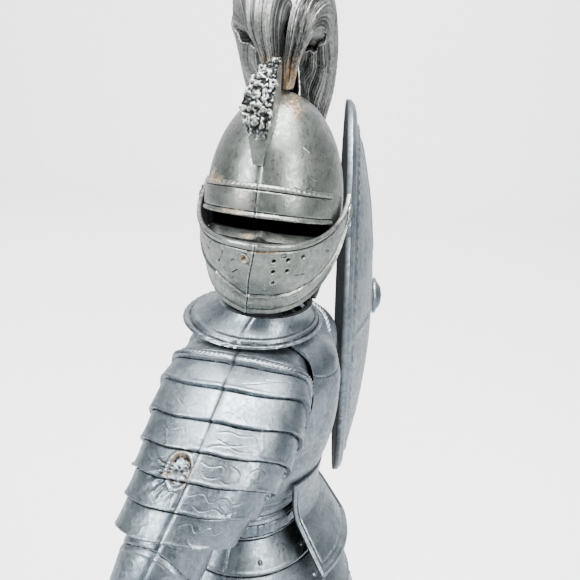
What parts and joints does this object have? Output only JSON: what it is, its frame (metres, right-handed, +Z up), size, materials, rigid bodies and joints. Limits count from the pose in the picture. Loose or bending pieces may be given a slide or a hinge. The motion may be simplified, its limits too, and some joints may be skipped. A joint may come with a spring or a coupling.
{
  "type": "knight action figure",
  "caption": "Standing knight figure in plate armour on a plinth, with a turning waist, neck and arms, a lifting visor, a feather plume, a sword and a tall domed shield.",
  "frame": {"origin": "centre of the plinth's underside", "axes": "+Z up through the figure, -Y the way the figure's chest and feet face, +X towards its left hand"},
  "size_m": [0.123, 0.076, 0.2387],
  "materials": {
    "silver_paint": "satin silver paint on hard plastic, brushed on, with grime in the lines",
    "warm_silver_paint": "satin silver paint on hard plastic, a little warmer, with amber glue stains",
    "plume_paint": "dull grey paint, worn",
    "bare_plastic": "unpainted dark grey hard plastic",
    "plinth_paint": "dark satin"
  },
  "bodies": {
    "stand": {"base_plinth": "plinth_paint", "left_foot": "silver_paint", "right_foot": "silver_paint", "left_leg_front": "silver_paint", "left_leg_back": "silver_paint", "right_leg_front": "silver_paint", "right_leg_back": "silver_paint", "left_knee_cop": "silver_paint", "right_knee_cop": "silver_paint", "hip_block": "bare_plastic", "waist_belt": "silver_paint", "waist_collar": "bare_plastic", "skirt_front": "silver_paint", "skirt_back": "silver_paint", "left_tasset": "silver_paint", "right_tasset": "silver_paint"},
    "torso": {"breastplate": "silver_paint", "backplate": "silver_paint", "waist_flange": "silver_paint", "gorget_front": "silver_paint", "gorget_back": "silver_paint", "waist_peg": "bare_plastic", "neck_post": "bare_plastic", "left_pauldron_front": "silver_paint", "left_pauldron_back": "silver_paint", "right_pauldron_front": "silver_paint", "right_pauldron_back": "silver_paint", "left_arm_socket": "bare_plastic", "right_arm_socket": "bare_plastic"},
    "head": {"helmet_left": "warm_silver_paint", "helmet_right": "warm_silver_paint", "helmet_floor": "bare_plastic", "brow_band": "warm_silver_paint", "face_guard": "bare_plastic", "crest_fin": "warm_silver_paint", "plume_left": "plume_paint", "plume_right": "plume_paint"},
    "visor": {"visor_plate": "warm_silver_paint", "visor_pin_left": "warm_silver_paint", "visor_pin_right": "warm_silver_paint"},
    "right_arm": {"right_arm_peg": "bare_plastic", "right_upper_arm_front": "silver_paint", "right_upper_arm_back": "silver_paint", "right_elbow_cop": "silver_paint", "right_vambrace": "silver_paint", "right_gauntlet": "silver_paint", "sword_grip": "silver_paint", "sword_guard": "silver_paint", "sword_blade": "silver_paint"},
    "left_arm": {"left_arm_peg": "bare_plastic", "left_upper_arm_front": "silver_paint", "left_upper_arm_back": "silver_paint", "left_elbow_cop": "silver_paint", "left_vambrace": "silver_paint", "left_gauntlet": "silver_paint"},
    "shield": {"shield_dish": "silver_paint", "shield_boss": "silver_paint", "shield_stud": "bare_plastic"}
  },
  "joints": [
    {"name": "waist_swivel", "type": "hinge", "parent": "stand", "child": "torso", "pos_m": [0, 0, 0.1383], "axis": [0, 0, 1], "range_deg": [-25, 25]},
    {"name": "neck_swivel", "type": "hinge", "parent": "torso", "child": "head", "pos_m": [0, -0.0015, 0.1807], "axis": [0, 0, 1], "range_deg": [-30, 110]},
    {"name": "visor_hinge", "type": "hinge", "parent": "head", "child": "visor", "pos_m": [0, -0.0015, 0.1995], "axis": [0, 1, 0], "range_deg": [0, 28]},
    {"name": "right_arm_swivel", "type": "hinge", "parent": "torso", "child": "right_arm", "pos_m": [-0.03, 0.0062, 0.1449], "axis": [-0.4306, 0.3004, -0.8511], "range_deg": [-4, 25]},
    {"name": "left_arm_swivel", "type": "hinge", "parent": "torso", "child": "left_arm", "pos_m": [0.03, 0.0044, 0.1449], "axis": [0.4502, 0.2201, -0.8654], "range_deg": [-8, 10]},
    {"name": "shield_swivel", "type": "hinge", "parent": "left_arm", "child": "shield", "pos_m": [0.05221, 0.00414, 0.13413], "axis": [0.1901, -0.9805, 0.05], "range_deg": [-12, 12]}
  ]
}
